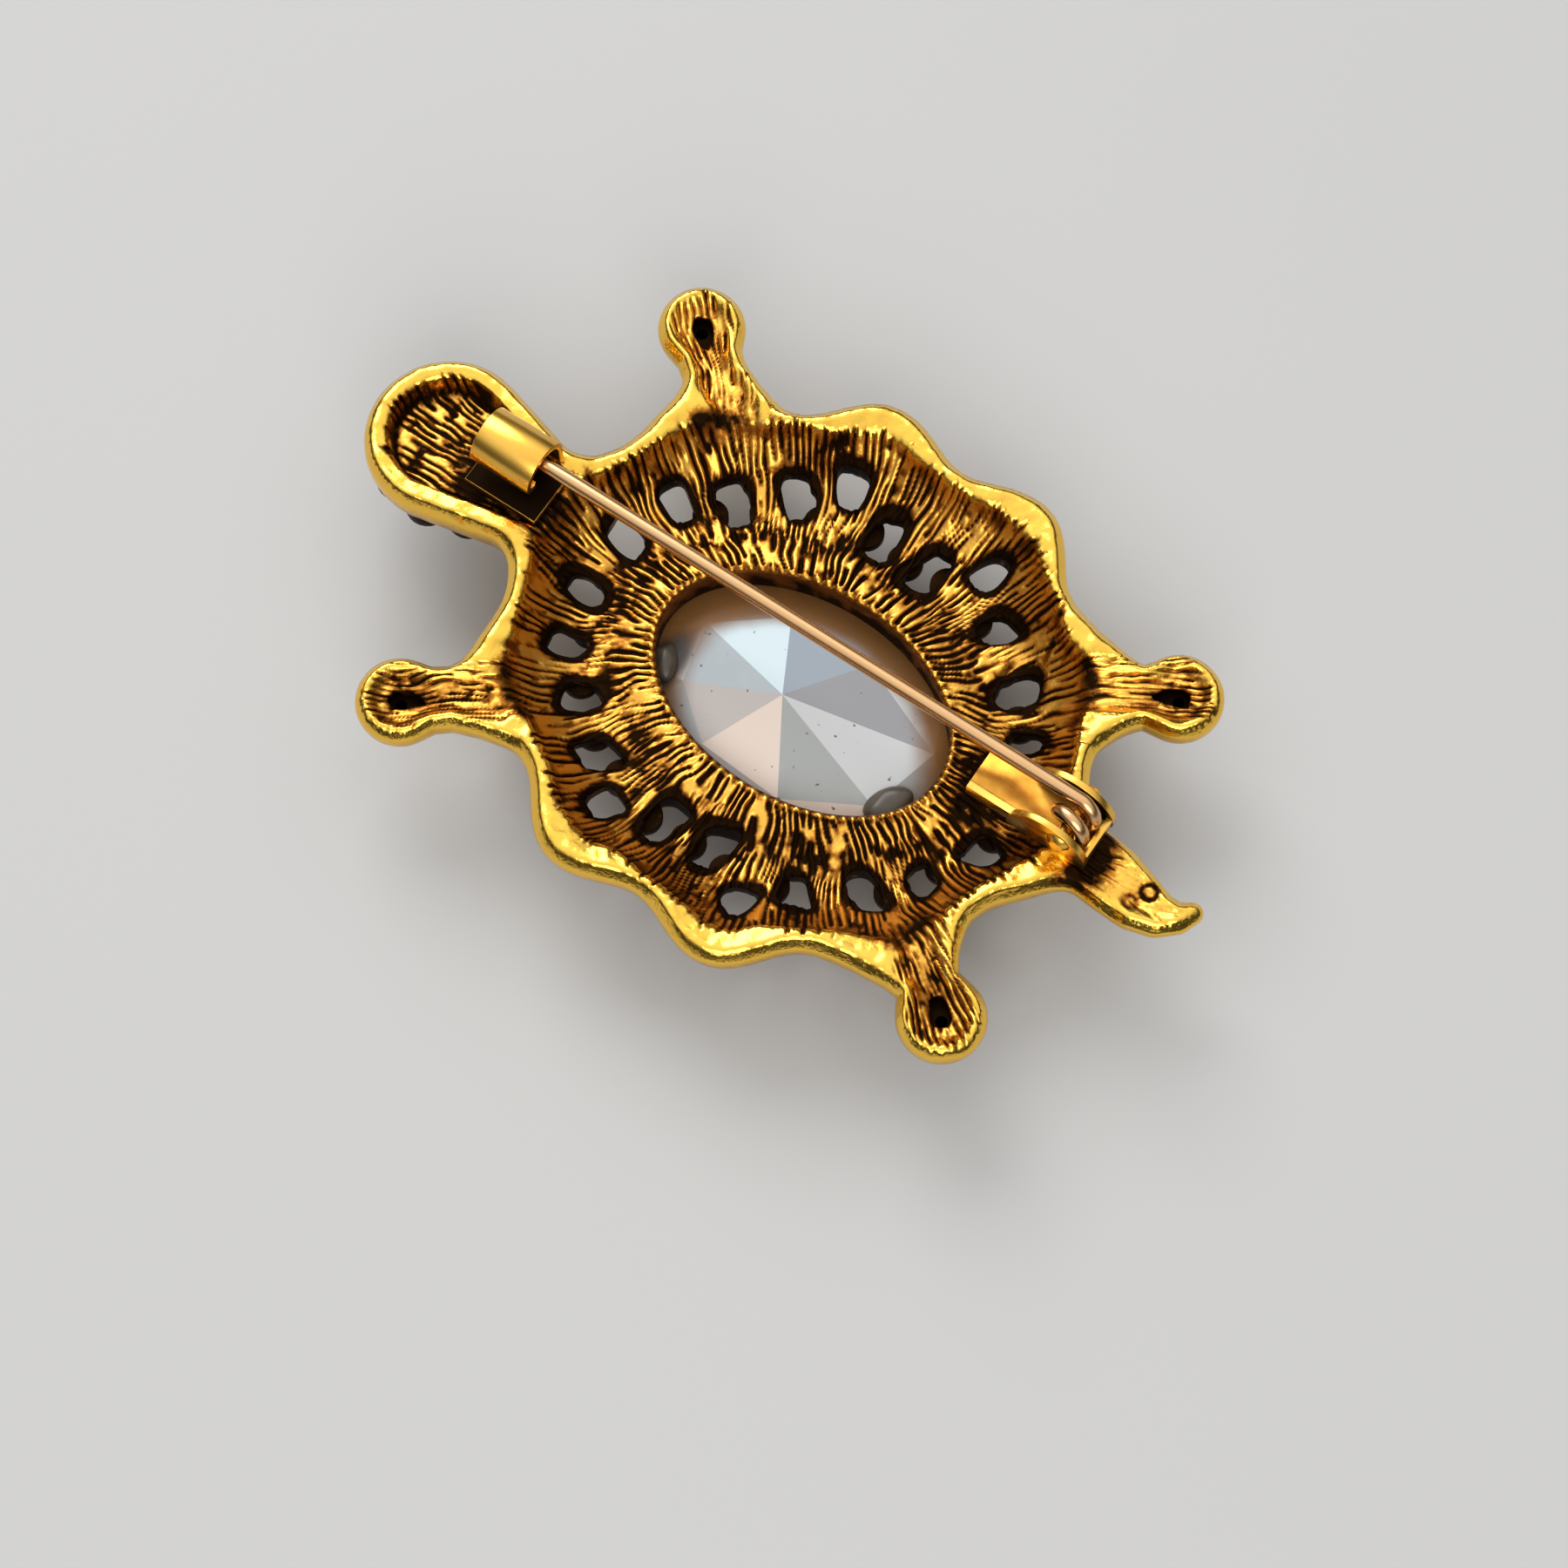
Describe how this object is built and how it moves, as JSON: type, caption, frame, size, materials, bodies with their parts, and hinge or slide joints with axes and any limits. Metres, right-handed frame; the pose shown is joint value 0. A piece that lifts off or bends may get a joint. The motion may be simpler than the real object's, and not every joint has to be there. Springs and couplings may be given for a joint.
{
  "type": "turtle brooch",
  "caption": "Turtle-shaped openwork brooch with one large foiled oval stone, small stones on its front and a sprung swinging pin that closes into a rolled catch on its back.",
  "frame": {"origin": "middle of the large stone's flat table, on which the brooch lies face down", "axes": "+Z out of the back towards the pin, +X from the head to the tail, +Y across"},
  "size_m": [0.0656, 0.0396, 0.0137],
  "materials": {
    "antique_gold": "gold-plated casting with a dark patina in its grooves and polished edges",
    "foiled_stone": "silver foil behind a faceted glass stone",
    "small_stone": "dark faceted glass",
    "cement": "set drops of clear brown cement",
    "gilt_sheet": "bright gold-plated sheet",
    "rose_wire": "smooth rose-gold wire"
  },
  "bodies": {
    "brooch": {"cast_body": "antique_gold", "centre_stone": "foiled_stone", "stone_adhesive": "cement", "hinge_base": "gilt_sheet", "hinge_rivet": "gilt_sheet", "catch": "gilt_sheet", "shell_stone_01": "small_stone", "shell_stone_02": "small_stone", "shell_stone_03": "small_stone", "shell_stone_04": "small_stone", "shell_stone_05": "small_stone", "shell_stone_06": "small_stone", "shell_stone_07": "small_stone", "shell_stone_08": "small_stone", "shell_stone_09": "small_stone", "shell_stone_10": "small_stone", "shell_stone_11": "small_stone", "shell_stone_12": "small_stone", "shell_stone_13": "small_stone", "shell_stone_14": "small_stone", "shell_stone_15": "small_stone", "shell_stone_16": "small_stone", "shell_stone_17": "small_stone", "shell_stone_18": "small_stone", "shell_stone_19": "small_stone", "shell_stone_20": "small_stone", "shell_stone_21": "small_stone", "shell_stone_22": "small_stone", "shell_stone_23": "small_stone", "shell_stone_24": "small_stone", "head_stone_01": "small_stone", "head_stone_02": "small_stone", "head_stone_03": "small_stone", "head_stone_04": "small_stone", "head_stone_05": "small_stone", "head_stone_06": "small_stone", "head_stone_07": "small_stone", "foot_stone_front_left": "small_stone", "foot_stone_front_right": "small_stone", "foot_stone_hind_left": "small_stone", "foot_stone_hind_right": "small_stone", "tail_stone": "small_stone"},
    "pin": {"pin_stem": "rose_wire"}
  },
  "joints": [
    {"name": "pin_swing", "type": "hinge", "parent": "brooch", "child": "pin", "pos_m": [0.0205, 0.0017, 0.01139], "axis": [-0.0349, 0.9994, 0], "range_deg": [0, 105]}
  ]
}
